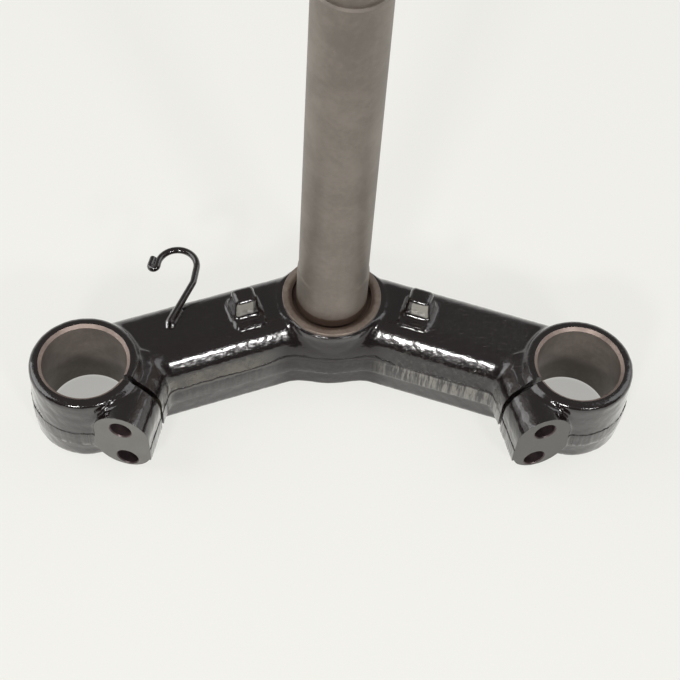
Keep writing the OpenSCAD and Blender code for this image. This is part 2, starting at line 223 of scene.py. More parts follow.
def surface(f, lo, hi, h):
    """Quads round the region where f is below 0, by surface nets, moved onto the surface."""
    lo = np.array(lo, float)
    n = np.ceil((np.array(hi) - lo) / h).astype(int) + 1
    axes = [lo[i] + h * np.arange(n[i]) for i in range(3)]
    F = np.empty(n)
    for i in range(n[0]):
        Y, Z = np.meshgrid(axes[1], axes[2], indexing="ij")
        P = np.stack([np.full(Y.size, axes[0][i]), Y.ravel(), Z.ravel()], axis=1)
        F[i] = f(P).reshape(Y.shape)
    tiny = 1e-9
    F = np.where(np.abs(F) < tiny, tiny, F)
    m = n - 1
    first, last, whole, inner = slice(0, -1), slice(1, None), slice(None), slice(1, -1)
    # Each cell that the surface passes gets a vertex in the middle of the crossings on its edges.
    total, weight = np.zeros((*m, 3)), np.zeros(m)
    for axis in range(3):
        b, c = [other for other in range(3) if other != axis]
        F0, F1 = F[shifted(axis, first, whole)], F[shifted(axis, last, whole)]
        crossed = (F0 < 0) != (F1 < 0)
        t = np.where(crossed, F0 / np.where(crossed, F0 - F1, 1), 0)
        for db in (0, 1):
            for dc in (0, 1):
                edge = [whole] * 3
                edge[b] = slice(db, db + m[b])
                edge[c] = slice(dc, dc + m[c])
                passed = crossed[tuple(edge)]
                weight += passed
                total[..., axis] += np.where(passed, t[tuple(edge)], 0)
                total[..., b] += np.where(passed, db, 0)
                total[..., c] += np.where(passed, dc, 0)
    active = weight > 0
    number = np.full(m, -1)
    number[active] = np.arange(active.sum())
    corner = np.stack(np.nonzero(active), axis=1)
    P = lo + h * (corner + total[active] / weight[active][:, None])
    # Each crossed edge inside the grid gets a quad between the four cells round it.
    quads = []
    for axis in range(3):
        b, c = (axis + 1) % 3, (axis + 2) % 3
        S0, S1 = F[shifted(axis, first, inner)] < 0, F[shifted(axis, last, inner)] < 0
        where = np.stack(np.nonzero(S0 != S1), axis=1)
        inside = S0[tuple(where.T)]
        where[:, b] += 1
        where[:, c] += 1
        cells = []
        for db, dc in ((1, 1), (0, 1), (0, 0), (1, 0)):
            cell = where.copy()
            cell[:, b] -= db
            cell[:, c] -= dc
            cells.append(number[tuple(cell.T)])
        quad = np.stack(cells, axis=1)
        quads.append(np.where(inside[:, None], quad, quad[:, ::-1]))
    return project(f, P), np.concatenate(quads)


# Meshes, in mm until they become objects
def turned(profile, steps, finish=None):
    """The solid that a profile of (radius, height) makes when it is turned about Z.

    finish gives the number of a face's material from the radius of the face's middle."""
    bm = bmesh.new()
    verts = [bm.verts.new((r, 0, h)) for r, h in profile]
    edges = [bm.edges.new(pair) for pair in zip(verts, verts[1:])]
    bmesh.ops.spin(
        bm, geom=verts + edges, cent=(0, 0, 0), axis=(0, 0, 1), angle=2 * math.pi, steps=steps,
        use_merge=True)
    bmesh.ops.remove_doubles(bm, verts=bm.verts, dist=1e-4)
    bmesh.ops.recalc_face_normals(bm, faces=bm.faces)
    if finish:
        for face in bm.faces:
            middle = face.calc_center_median()
            face.material_index = finish(math.hypot(middle.x, middle.y))
    return bm


def block(low, high, material=0):
    """A box between two corners."""
    bm = bmesh.new()
    low, high = Vector(low), Vector(high)
    size = Matrix.Diagonal((*(high - low), 1.0))
    bmesh.ops.create_cube(bm, size=1.0, matrix=Matrix.Translation((low + high) / 2) @ size)
    for face in bm.faces:
        face.material_index = material
    return bm


def placed(bm, x=(1, 0, 0), z=(0, 0, 1), at=(0, 0, 0)):
    """Turns and moves a piece so that its own X and Z lie along x and z."""
    z = Vector(z).normalized()
    y = z.cross(Vector(x)).normalized()
    m = Matrix((y.cross(z), y, z)).transposed().to_4x4()
    m.translation = at
    bmesh.ops.transform(bm, matrix=m, verts=bm.verts)
    return bm


def solid(name, materials, *pieces):
    """One object, in metres, of pieces that were made in mm."""
    me = bpy.data.meshes.new(name)
    bm = bmesh.new()
    for piece in pieces:
        piece.to_mesh(me)
        piece.free()
        bm.from_mesh(me)
    bmesh.ops.scale(bm, vec=(MM, MM, MM), verts=bm.verts)
    bm.to_mesh(me)
    bm.free()
    for m in materials:
        me.materials.append(m)
    ob = bpy.data.objects.new(name, me)
    bpy.context.scene.collection.objects.link(ob)
    return ob


def from_arrays(P, quads):
    """A bmesh of the points and quads of a field's surface."""
    me = bpy.data.meshes.new("grid")
    me.from_pydata(P.tolist(), [], quads.tolist())
    bm = bmesh.new()
    bm.from_mesh(me)
    bpy.data.meshes.remove(me)
    return bm


def apply_modifiers(ob):
    """Makes the mesh that the modifiers show the object's own."""
    dg = bpy.context.evaluated_depsgraph_get()
    dg.update()
    me = bpy.data.meshes.new_from_object(ob.evaluated_get(dg))
    old = ob.data
    ob.modifiers.clear()
    ob.data = me
    bpy.data.meshes.remove(old)


def cut(ob, other, operation="DIFFERENCE"):
    """Cuts another object out of an object, or joins it to it, and deletes the other one."""
    mod = ob.modifiers.new("cut", "BOOLEAN")
    mod.operation = operation
    mod.solver = "MANIFOLD"
    mod.object = other
    apply_modifiers(ob)
    me = other.data
    bpy.data.objects.remove(other)
    bpy.data.meshes.remove(me)


def smooth(ob, angle):
    """Shades the faces smooth, with sharp edges where they turn by more than an angle in degrees."""
    ob.data.shade_smooth()
    ob.data.set_sharp_from_angle(angle=math.radians(angle))
    return ob


# Node trees, written as expressions
class Sock:
    """A shader socket that can be used in sums and products."""

    def __init__(self, nodes, socket):
        self.nodes, self.socket = nodes, socket

    def math(self, operation, *others):
        values = dict(enumerate((self, *others)))
        return self.nodes.node("ShaderNodeMath", {"operation": operation}, values)

    def __add__(self, other):
        return self.math("ADD", other)

    __radd__ = __add__

    def __sub__(self, other):
        return self.math("SUBTRACT", other)

    def __rsub__(self, other):
        return self * -1.0 + other

    def __mul__(self, other):
        return self.math("MULTIPLY", other)

    __rmul__ = __mul__

    def __pow__(self, other):
        return self.math("POWER", other)

    def abs(self):
        return self.math("ABSOLUTE")

    def sin(self):
        return self.math("SINE")

    def max(self, other):
        return self.math("MAXIMUM", other)

    def min(self, other):
        return self.math("MINIMUM", other)

    def step(self, lo, hi, a=0.0, b=1.0):
        """Smooth step from a below lo to b above hi."""
        values = {"Value": self, "From Min": lo, "From Max": hi, "To Min": a, "To Max": b}
        return self.nodes.node("ShaderNodeMapRange", {"interpolation_type": "SMOOTHSTEP"}, values)

    def fall(self, lo, hi):
        """Smooth step from 1 below lo to 0 above hi."""
        return self.step(lo, hi, 1.0, 0.0)

    def near(self, middle, inner, outer):
        """1 within inner of a middle and 0 past outer."""
        return (self - middle).abs().fall(inner, outer)

    def between(self, start, full, fade, end):
        """Rises from start to full, and falls again from fade to end."""
        return self.step(start, full) * self.fall(fade, end)


class Nodes:
    """A node tree, whose nodes all come from one method."""

    def __init__(self, tree):
        self.tree = tree

    def plug(self, value, socket):
        """Links a socket to another one or sets its value."""
        if isinstance(value, Sock):
            self.tree.links.new(value.socket, socket)
        elif socket.type == "RGBA":
            socket.default_value = (*value, 1.0)
        else:
            socket.default_value = value

    def node(self, kind, settings, sockets, out=0):
        """A node of a type: its settings are set first, then the values or links of its sockets."""
        made = self.tree.nodes.new(kind)
        for name, value in settings.items():
            setattr(made, name, value)
        for name, value in sockets.items():
            self.plug(value, made.inputs[name])
        return Sock(self, made.outputs[out])

    def source(self, kind, out):
        """An output of a node that has no settings or inputs."""
        return self.node(kind, {}, {}, out)

    def parts(self, vector):
        """The three numbers of a vector."""
        split = self.node("ShaderNodeSeparateXYZ", {}, {0: vector})
        return [Sock(self, socket) for socket in split.socket.node.outputs]


class Shader(Nodes):
    """A material under construction, with its Principled BSDF and coordinates in mm."""

    def __init__(self, name):
        self.material = bpy.data.materials.new(name)
        self.material.use_nodes = True
        super().__init__(self.material.node_tree)
        self.bsdf = self.tree.nodes["Principled BSDF"]
        place = self.source("ShaderNodeTexCoord", "Object")
        self.mm = self.node("ShaderNodeVectorMath", {"operation": "SCALE"}, {0: place, "Scale": 1 / MM})
        self.x, self.y, self.z = self.parts(self.mm)

    def noise(self, scale, detail, rough, seed=0.0, stretch=None):
        """Soft noise: stretch scales the coordinates, and each seed takes another part of the noise."""
        place = self.mm
        if stretch:
            place = self.node("ShaderNodeVectorMath", {"operation": "MULTIPLY"}, {0: place, 1: stretch})
        if seed:
            move = (seed * 17.3, seed * 5.1, seed * 9.7)
            place = self.node("ShaderNodeVectorMath", {"operation": "ADD"}, {0: place, 1: move})
        values = {"Vector": place, "Scale": scale, "Detail": detail, "Roughness": rough}
        return self.node("ShaderNodeTexNoise", {}, values)

    def cells(self, scale):
        """Distance from the nearest of many scattered points."""
        return self.node("ShaderNodeTexVoronoi", {}, {"Vector": self.mm, "Scale": scale})

    def mix(self, share, a, b):
        """Colour a with a share of colour b; the node has its colours on inputs 6 and 7 and output 2."""
        return self.node("ShaderNodeMix", {"data_type": "RGBA"}, {0: share, 6: a, 7: b}, 2)

    def bump(self, height, depth, strength, normal=None):
        """A normal for a height map, of which 1 is a depth in mm."""
        values = {"Height": height, "Strength": strength, "Distance": depth * MM}
        if normal is not None:
            values["Normal"] = normal
        return self.node("ShaderNodeBump", {}, values)

    def rounded_edges(self):
        """A normal that rounds each edge by a radius of 0.6 mm."""
        return self.node("ShaderNodeBevel", {"samples": 6}, {"Radius": 0.6 * MM})

    def radius(self, x0=0.0, y0=0.0):
        """Distance from an upright axis."""
        dx, dy = self.x - x0, self.y - y0
        return (dx * dx + dy * dy) ** 0.5

    def finish(self, **values):
        """Plugs the values into the Principled BSDF."""
        for name, value in values.items():
            self.plug(value, self.bsdf.inputs[name.replace("_", " ")])
        return self.material


# Materials, of which the numbers are places in mm, heights, shares and linear colours
BARE_BLACK = (0.006, 0.005, 0.005)


def forging_waves(sh, soft, up):
    """Height of the forging under the paint: waves, grain, dents, and small bumps on rounded edges."""
    ripple = sh.noise(0.40, 2.0, 0.55, seed=12.0)
    grain = sh.noise(1.1, 3.0, 0.6, seed=1.0)
    dents = sh.cells(0.36).step(0.0, 0.62)
    peel = sh.noise(2.6, 1.0, 0.5, seed=2.0)
    rim = up.between(0.35, 0.55, 0.90, 0.975)
    fine = sh.noise(1.05, 1.5, 0.5, seed=14.0)
    return soft * 0.30 + ripple * 0.6 + grain * 0.24 + dents * 0.05 + peel * 0.02 + rim * fine * 0.26


def trimming_marks(sh, band, colour, height):
    """Upright marks of the trimming on the flash band, clearest on the right arm."""
    bars = sh.noise(1.0, 3.0, 0.6, seed=3.0, stretch=(0.55, 0.55, 0.03))
    ticks = sh.noise(1.0, 2.0, 0.6, seed=6.0, stretch=(1.9, 1.9, 0.12))
    right = sh.x.between(18.0, 34.0, 80.0, 88.0)
    left = (sh.x * -1.0).step(18.0, 40.0)
    bright = bars.step(0.42, 0.62) * ticks.step(0.2, 0.6, 0.55, 1.0)
    colour = sh.mix(band * bright * (right * 0.75 + left * 0.07), colour, (0.30, 0.285, 0.25))
    colour = sh.mix(band * ticks.step(0.60, 0.70) * right * 0.8, colour, BARE_BLACK)
    ribbed = sh.x.step(10.0, 30.0) * 0.75 + 0.25
    return colour, height + band * ribbed * (bars * 0.9 + ticks * 0.5)


def dust_and_sheen_on_left_wall(sh, up, colour, height):
    """Left arm's front wall: lighter brown, partly dust, partly painted reflection; creases in its paint."""
    wall = sh.z.near(-15.5, 4.6, 6.4) * (sh.x * -1.0).between(24.0, 42.0, 84.0, 92.0) * up.fall(0.23, 0.35)
    wall = wall * (sh.noise(0.10, 3.0, 0.6, seed=8.0).step(0.30, 0.60) * 0.6 + 0.4)
    lines = sh.noise(1.0, 2.0, 0.5, seed=21.0, stretch=(0.33, 0.33, 0.12)).near(0.5, 0.0, 0.012)
    crease = wall * lines * sh.noise(0.08, 1.0, 0.5, seed=23.0).step(0.50, 0.56)
    # Painted reflection, partly dust: the left arm's front wall is lightened toward brown.
    colour = sh.mix(wall * 0.8, colour, (0.105, 0.092, 0.070))
    return sh.mix(crease * 0.9, colour, BARE_BLACK), height - crease * 0.6


def scuffs_and_sheen_on_tops(sh, colour, height):
    """Lighter streaks along the arms' tops, stronger on the right: partly scuffs, partly painted sheen."""
    tops = sh.z.step(-4.5, -3.0) * sh.x.abs().between(30.0, 50.0, 92.0, 104.0)
    wrinkles = sh.noise(1.0, 5.0, 0.7, seed=9.0, stretch=(0.28, 1.1, 0.5))
    right = sh.x.step(20.0, 60.0)
    # Painted sheen, partly scuffs: streaks on the tops' wrinkles are lightened, more on the right.
    colour = sh.mix(tops * wrinkles.step(0.56, 0.72) * (right * 0.35 + 0.25), colour, (0.10, 0.085, 0.078))
    return colour, height + tops * wrinkles * (right * 0.6 + 0.3)


def sheen_on_stop_fronts(sh):
    """Lighter grey on the stops' front faces: partly thin paint, partly painted reflection of the floor."""
    facing = sh.parts(sh.source("ShaderNodeNewGeometry", "Normal"))[1] * -1.0
    middle = sh.x.abs().near(43.8, 4.4, 5.1) * sh.z.near(4.5, 3.7, 4.4)
    return facing.step(0.84, 0.93) * middle * sh.y.step(-25.0, -24.0)


def black_paint():
    """Gloss black paint on the rough forging, with its marks, wear and dust, and painted sheen and shade."""
    sh = Shader("gloss black paint")
    up = sh.parts(sh.source("ShaderNodeNewGeometry", "True Normal"))[2]
    soft = sh.noise(0.22, 3.0, 0.55)
    dust = sh.noise(7.0, 2.0, 0.7, seed=5.0).step(0.62, 0.8)
    band = sh.z.near(-25.4, 4.3, 5.3)
    colour = sh.mix(soft, (0.0075, 0.0042, 0.0046), (0.012, 0.0070, 0.0075))
    colour = sh.mix(dust * 0.25, colour, (0.12, 0.11, 0.10))
    colour, height = trimming_marks(sh, band, colour, forging_waves(sh, soft, up))
    colour, height = dust_and_sheen_on_left_wall(sh, up, colour, height)
    colour, height = scuffs_and_sheen_on_tops(sh, colour, height)
    dull_right = sh.x.between(20.0, 34.0, 84.0, 90.0) * sh.z.near(-15.0, 5.5, 6.5)
    mottle = sh.noise(0.55, 4.0, 0.65, seed=31.0).step(0.46, 0.66)
    colour = sh.mix(dull_right * mottle * 0.6, colour, (0.060, 0.058, 0.054))
    # Painted reflection, partly thin paint: the stops' front faces are lightened toward grey, the right one
    # more.
    thin = sheen_on_stop_fronts(sh) * (sh.x.step(-10.0, 10.0) * 0.25 + 0.55)
    colour = sh.mix(thin, colour, (0.36, 0.345, 0.30))
    ledge = up.step(0.18, 0.34) * sh.z.near(PART + 1.2, 2.6, 3.2)
    # Painted shade: less coat on the boss front, so that the floor it mirrors looks shadowed.
    boss_front = sh.x.abs().fall(20.0, 32.0) * sh.z.fall(-6.5, -3.5)
    return sh.finish(
        Base_Color=colour,
        Roughness=0.16 + dust * 0.2 + band * 0.14 + ledge * 0.4,
        Specular_IOR_Level=0.65,
        IOR=1.5,
        Coat_Weight=(1.0 - ledge) * (1.0 - boss_front * 0.9) * (1.0 - dull_right * 0.5),
        Coat_Roughness=0.04,
        Coat_IOR=1.5,
        Normal=sh.bump(height, 0.42, 0.6, sh.rounded_edges()),
    )


def bare_steel(name, dark, light):
    """Bare machined steel: fine tool marks round its axis, stains and tiny pits."""
    sh = Shader(name)
    stain = sh.noise(0.045, 4.0, 0.6)
    cloud = sh.noise(0.35, 3.0, 0.6, seed=1.0)
    fine = sh.noise(1.0, 3.0, 0.6, seed=2.0, stretch=(0.05, 0.05, 5.0))
    pits = sh.cells(0.9).fall(0.03, 0.10) * sh.noise(0.5, 1.0, 0.5, seed=4.0).step(0.54, 0.62)
    colour = sh.mix((stain * 0.7 + cloud * 0.3).step(0.35, 0.68), dark, light)
    colour = sh.mix(pits * 0.7, colour, (0.05, 0.035, 0.025))
    return sh, colour, fine * 0.05 - pits * 0.5 + cloud * 0.05, cloud


def bore_steel():
    """The fork bores, with the rings that the boring tool left."""
    sh, colour, height, cloud = bare_steel("bored steel", (0.155, 0.13, 0.112), (0.235, 0.203, 0.177))
    normal = sh.bump(height + (sh.z * 9.0).sin() * 0.02, 0.10, 0.6)
    return sh.finish(Base_Color=colour, Metallic=0.35, Roughness=0.40 + cloud * 0.12, Normal=normal)


def chamfer_steel():
    """The chamfers of the fork bores."""
    sh, colour, height, cloud = bare_steel("chamfer steel", (0.29, 0.225, 0.195), (0.45, 0.36, 0.32))
    normal = sh.bump(height, 0.06, 0.5)
    return sh.finish(Base_Color=colour, Metallic=0.5, Roughness=0.46 + cloud * 0.1, Normal=normal)


def seat_steel():
    """The bearing seat: turned lines, rust at its inner edge and a darker outer edge."""
    sh, colour, height, _ = bare_steel("seat steel", (0.27, 0.215, 0.18), (0.42, 0.345, 0.295))
    r = sh.radius()
    lines = (r * 11.0).sin() * 0.5 + 0.5
    ragged = sh.noise(0.5, 3.0, 0.6, seed=7.0) * 1.6 + r
    rust = ragged.fall(21.6, 23.6)
    colour = sh.mix(rust * 0.8, colour, (0.085, 0.05, 0.033))
    colour = sh.mix(ragged.step(24.9, 25.6) * 0.4, colour, (0.10, 0.08, 0.068))
    normal = sh.bump(height + lines * 0.05, 0.10, 0.6)
    return sh.finish(Base_Color=colour, Metallic=0.6, Roughness=0.42 + rust * 0.22, Normal=normal)


def stem_steel():
    """The stem, browned toward its foot, rusty at the seat, with a few light specks."""
    sh, colour, height, cloud = bare_steel("stem steel", (0.205, 0.18, 0.156), (0.275, 0.243, 0.212))
    brown = (sh.z + sh.noise(0.25, 3.0, 0.6, seed=6.0) * 8.0).fall(4.0, 14.0)
    rust = (sh.z + sh.noise(0.5, 3.0, 0.6, seed=7.0) * 1.6).fall(2.6, 3.9)
    specks = sh.cells(0.23).fall(0.0, 0.075)
    colour = sh.mix(brown * 0.35, colour, (0.12, 0.082, 0.058))
    colour = sh.mix(rust * 0.9, colour, (0.085, 0.052, 0.036))
    colour = sh.mix(specks * 0.55, colour, (0.42, 0.32, 0.22))
    normal = sh.bump(height, 0.09, 0.6)
    return sh.finish(Base_Color=colour, Metallic=0.45, Roughness=0.44 + cloud * 0.10, Normal=normal)


def hole_steel():
    """The dark insides of the bolt holes."""
    sh, colour, height, _ = bare_steel("hole steel", (0.045, 0.032, 0.036), (0.12, 0.085, 0.085))
    return sh.finish(Base_Color=colour, Metallic=0.5, Roughness=0.38, Normal=sh.bump(height, 0.15, 0.7))


def faced_paint():
    """The thin grey finish on the machined bolt faces, with painted shade darkening the right lug's face."""
    sh = Shader("grey finish on the bolt faces")
    cloud = sh.noise(0.12, 3.0, 0.6)
    fine = sh.noise(2.2, 2.0, 0.6, seed=2.0)
    colour = sh.mix(cloud, (0.10, 0.096, 0.085), (0.15, 0.145, 0.13))
    # Painted shade: the right lug's face is darkened, as it gets less of the light.
    colour = sh.mix(sh.x.step(-10.0, 10.0) * 0.75, colour, (0.035, 0.031, 0.027))
    return sh.finish(
        Base_Color=colour,
        Roughness=0.34 + fine * 0.08,
        Specular_IOR_Level=0.55,
        Coat_Weight=0.4,
        Coat_Roughness=0.12,
        Normal=sh.bump(fine * 0.3 + cloud, 0.05, 0.35, sh.rounded_edges()),
    )


PAINT, STEM_STEEL = black_paint(), stem_steel()
YOKE_FINISHES = [PAINT, bore_steel(), chamfer_steel(), seat_steel(), hole_steel(), faced_paint()]
PAINTED, BORED, CHAMFERED, SEAT, DRILLED, FACED = range(len(YOKE_FINISHES))


# The yoke
def wavy(P, length, seed):
    """Smooth random values, mostly between -1 and 1: a sum of waves of about a length in mm."""
    draws = np.random.default_rng(seed)
    out = np.zeros(len(P))
    for _ in range(7):
        k = draws.normal(size=3)
        k = k / np.linalg.norm(k) * draws.uniform(0.7, 1.5) * 2 * math.pi / length
        out += np.sin(P @ k + draws.uniform(0, 6.3))
    return out / 3.2


def painted_body():
    """The forging, with the small waves of its skin, which are weaker on level faces."""
    P, quads = surface(forging_field, lo=(-150.5, -84, -43), hi=(150.5, 30, 12), h=1.15)
    n = gradient(forging_field, P)
    skin = 0.06 * wavy(P, 9.0, 1) + 0.05 * wavy(P, 4.5, 2) + 0.022 * wavy(P, 2.8, 3)
    P = P + n * (skin * np.clip(1 - np.abs(n[:, 2]) * 0.4, 0, 1) - 0.02)[:, None]
    return solid("painted_yoke", YOKE_FINISHES, from_arrays(P, quads))


def outward(P):
    """Level direction away from the forging at its parting line."""
    Q = np.column_stack([P[:, :2], np.full(len(P), PART + 0.3)])
    g = gradient(forging_field, Q)
    g[:, 2] = 0
    return g / np.linalg.norm(g, axis=1)[:, None]


def outline(body):
    """The body's section at the parting line, filled with triangles, in mm."""
    bm = bmesh.new()
    bm.from_mesh(body.data)
    bmesh.ops.scale(bm, vec=(1 / MM,) * 3, verts=bm.verts)
    whole = bm.verts[:] + bm.edges[:] + bm.faces[:]
    made = bmesh.ops.bisect_plane(bm, geom=whole, dist=1e-4, plane_co=(0, 0, PART), plane_no=(0, 0, 1))
    line = {v for v in made["geom_cut"] if isinstance(v, bmesh.types.BMVert)}
    bmesh.ops.delete(bm, geom=[v for v in bm.verts if v not in line], context="VERTS")
    bmesh.ops.delete(bm, geom=bm.faces[:], context="FACES_ONLY")
    bmesh.ops.subdivide_edges(bm, edges=bm.edges[:], cuts=2)
    bmesh.ops.contextual_create(bm, geom=bm.edges[:])
    bmesh.ops.triangulate(bm, faces=bm.faces[:])
    return bm


def flash_band(body):
    """The trimmed flash: a slab below the parting line, as wide as the body and a little more."""
    bm = outline(body)
    P = np.array([v.co for v in bm.verts])
    out = outward(P)
    tick, slow, nick = (wavy(P * (1, 1, 0), length, seed) for length, seed in ((2.4, 5), (14.0, 6), (4.0, 8)))
    base = P + out * (0.31 + 0.10 * tick + 0.08 * slow)[:, None]
    # Along the front the line is lifted by 1 mm on the arms and by 1.8 mm more at the boss.
    x = np.abs(P[:, 0])
    lift = np.clip((-out[:, 1] - 0.3) / 0.3, 0, 1) * (1.0 * (x < 88) + 1.8 * np.clip((34 - x) / 12, 0, 1))
    # Each row: its height, how far out it lies, how much its waves show, and whether it is lifted.
    rows = [(PART, -0.35, 1.0, 1), (PART - 0.35, -0.05, 1.0, 1), (PART - 1.3, 0.05, 0.8, 1),
            (PART - 3.5, 0.02, 0.4, 0), (FLASH + 2.6, 0.04, 0.3, 0), (FLASH + 0.5, 0.04, 0.3, 0),
            (FLASH, -0.22, 0.3, 0)]
    ring = list(bm.verts)
    face = bm.faces[:]
    for k, (z, move, follow, lifted) in enumerate(rows):
        if k:
            made = bmesh.ops.extrude_face_region(bm, geom=face)
            if k > 1:
                bmesh.ops.delete(bm, geom=face, context="FACES_KEEP_BOUNDARY")
            face = [f for f in made["geom"] if isinstance(f, bmesh.types.BMFace)]
            fresh = [v for v in made["geom"] if isinstance(v, bmesh.types.BMVert)]
            key = {tuple(round(c, 5) for c in v.co): v for v in fresh}
            ring = [key[tuple(round(c, 5) for c in v.co)] for v in ring]
        Q = base + out * move
        Q[:, 2] = z + follow * (0.35 * slow + 0.25 * nick) + lift * lifted
        for v, q in zip(ring, Q):
            v.co = q
    bmesh.ops.recalc_face_normals(bm, faces=bm.faces)
    return solid("flash_band", YOKE_FINISHES, bm)


# Profiles of (radius, height): a fork bore with its chamfers, the stem's bore, and the seat ring
FORK_BORE = [(0, UNDER - 1), (BORE + 1.6, UNDER - 1), (BORE, UNDER + 0.6), (BORE, RING_TOP - 1.55),
             (BORE + 2.55, RING_TOP + 1), (0, RING_TOP + 1)]
SEAT_BORE = [(0, UNDER - 1), (18.25, UNDER - 1), (18.25, -3.5), (19.8, -3.5), (19.8, -1.0), (23.2, 0.42),
             (0, 0.42)]
SEAT_RING = [(20.0, -3.2), (24.9, -3.2), (24.7, -1.5), (24.7, -0.18), (24.5, 0.0), (21.6, 0.0), (20.0, 0.0),
             (20.0, -3.2)]


def bore_finish(r):
    """The bore's wall and the middles of its ends are bored, and the rest is chamfer."""
    return BORED if abs(r - BORE) < 0.05 or r < BORE - 5 else CHAMFERED


def pinch_hole(slit):
    """Profile of a bolt's hole along its axis: clearance to the slit, then the tapped hole."""
    face, chamfer, clear, tapped, depth, drill_tip = -FACE_Y, 6.7, 5.2, 4.25, 22.0, 2.5
    return [(0, face + 1), (chamfer, face + 1), (clear, face - 0.5), (clear, slit), (tapped, slit),
            (tapped, slit - depth), (0, slit - depth - drill_tip)]


def machine(ob):
    """Cuts the bolt faces, the bores, the slits and the bolt holes."""
    below, above = -60, 20
    face_start, face_end, face_depth = 9.5, 60, 20
    half_slit, slit_end = 1.4, 44
    faces, bores, slits, holes = [], [], [], []
    for s in (-1, 1):
        inward = Vector((-s * math.cos(SPLAY), -math.sin(SPLAY), 0))
        front = Vector((s * math.sin(SPLAY), -math.cos(SPLAY), 0))
        axis = Vector((s * FORK_X, FORK_Y, 0))
        near, far = sorted((-s * FACE_Y, -s * (FACE_Y - face_depth)))
        face = block((face_start, near, below), (face_end, far, above), FACED)
        faces.append(placed(face, x=inward, at=axis))
        bores.append(placed(turned(FORK_BORE, 192, bore_finish), at=axis))
        slit_in = Vector((-s * math.cos(SLIT), -math.sin(SLIT), 0))
        slit = block((0, -half_slit, below), (slit_end, half_slit, above), PAINTED)
        slits.append(placed(slit, x=slit_in, at=axis))
        for k in (1, -1):
            px = BOLT_X - k * LEAN / 2
            at = axis + inward * px + Vector((0, 0, BOLT_Z + k * SPACING / 2))
            hole = turned(pinch_hole(px * math.tan(SLIT - SPLAY)), 96, lambda r: DRILLED)
            holes.append(placed(hole, z=front, x=(0, 0, 1), at=at))
    bores.append(turned(SEAT_BORE, 192, lambda r: SEAT))
    for name, group in (("faces", faces), ("bores", bores), ("slits", slits), ("holes", holes)):
        cut(ob, solid(name, YOKE_FINISHES, *group))


yoke = painted_body()
cut(yoke, flash_band(yoke), "UNION")
cut(yoke, solid("seat_ring", YOKE_FINISHES, turned(SEAT_RING, 192, lambda r: SEAT)), "UNION")
machine(yoke)
smooth(yoke, 30)
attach(yoke, "root")
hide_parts("lower_yoke")


# The stem
def thread_cutter():
    """A vee that climbs round the stem's top end."""
    pitch, turns, steps, foot = 1.5, 15.2, 72, 228.0
    bm = bmesh.new()
    tip, low, high = (13.05, 0, 0), (14.4, 0, -0.78), (14.4, 0, 0.72)
    face = bm.faces.new([bm.verts.new(c) for c in (tip, low, high)])
    count = int(steps * turns)
    bmesh.ops.spin(
        bm, geom=[face, *face.edges, *face.verts], cent=(0, 0, 0), axis=(0, 0, 1), angle=2 * math.pi * turns,
        steps=count, dvec=(0, 0, pitch * turns / count))
    bmesh.ops.recalc_face_normals(bm, faces=bm.faces)
    return placed(bm, at=(0, 0, foot))


def stem():
    """The stem, from its bore and foot up to its threaded end."""
    bore_and_foot = [(10, 250), (10, UNDER + 1), (11, UNDER), (17.3, UNDER), (18.3, UNDER + 1), (18.3, -3.5)]
    journal = [(17.7, -3.5), (17.7, 20.8), (17.62, 21.8), (17.4, 22.5), (17.2, 23.0)]
    shaft = [(17.15, 23.8), (17.15, 90), (17.15, 150), (17.15, 204), (16.15, 205)]
    top_end = [(15, 205), (15, 226), (14, 227), (14, 250), (13, 251), (11, 251), (10, 250)]
    ob = solid("turned_stem", [STEM_STEEL], turned(bore_and_foot + journal + shaft + top_end, 144))
    cut(ob, solid("thread", [STEM_STEEL], thread_cutter()))
    return smooth(ob, 30)


stem_ob = stem()
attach(stem_ob, "root")
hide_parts("steering_stem")


# The hose guide
WIRE_TURN, WIRE_RISE, WIRE_R = math.radians(65.2), math.radians(2.9), 1.74
rng = np.random.default_rng(7)


def wire_foot(z):
    """The wire's foot on the left arm, at a height."""
    along, across = -81.5, 9.7
    c, n = math.cos(SWEEP), math.sin(SWEEP)
    return Vector((along * c - across * n, along * n + across * c, z))


def wire():
    """The wire, drawn out straight and bent step by step.

    A run has a length, and a bend a radius, an angle and a roll."""
    at = wire_foot(-0.1)
    level = math.cos(WIRE_RISE)
    fwd = Vector((math.cos(WIRE_TURN) * level, math.sin(WIRE_TURN) * level, math.sin(WIRE_RISE)))
    left = Vector((-math.sin(WIRE_TURN), math.cos(WIRE_TURN), 0))
    bm = bmesh.new()
    bmesh.ops.create_circle(bm, cap_ends=True, segments=24, radius=WIRE_R)
    placed(bm, z=fwd, x=left, at=at)
    end = bm.faces[:]
    steps = ((25.2,), (9.0, 16, 0), (7.3,), (9.85, 184.6, 0), (0.3,), (1.85, 192, 193), (5.0,))
    for step in steps:
        if len(step) == 1:
            made = bmesh.ops.extrude_face_region(bm, geom=end)
            fresh = [v for v in made["geom"] if isinstance(v, bmesh.types.BMVert)]
            bmesh.ops.translate(bm, verts=fresh, vec=fwd * step[0])
            end = [f for f in made["geom"] if isinstance(f, bmesh.types.BMFace)]
            at = at + fwd * step[0]
        else:
            r, turn, roll = step
            turn = math.radians(turn)
            left = Matrix.Rotation(math.radians(roll), 3, fwd) @ left
            centre = at + left * r
            axis = fwd.cross(left)
            geom = end + [e for f in end for e in f.edges] + list({v for f in end for v in f.verts})
            facets = max(6, int(turn * r / 0.7))
            made = bmesh.ops.spin(bm, geom=geom, cent=centre, axis=axis, angle=turn, steps=facets)
            end = [f for f in made["geom_last"] if isinstance(f, bmesh.types.BMFace)]
            spin = Matrix.Rotation(turn, 3, axis)
            at = centre + spin @ (at - centre)
            fwd, left = spin @ fwd, spin @ left
    rim = [e for f in end for e in f.edges]
    bmesh.ops.bevel(bm, geom=rim, offset=0.35, segments=3, profile=0.5, affect="EDGES", material=-1)
    bmesh.ops.recalc_face_normals(bm, faces=bm.faces)
    return bm


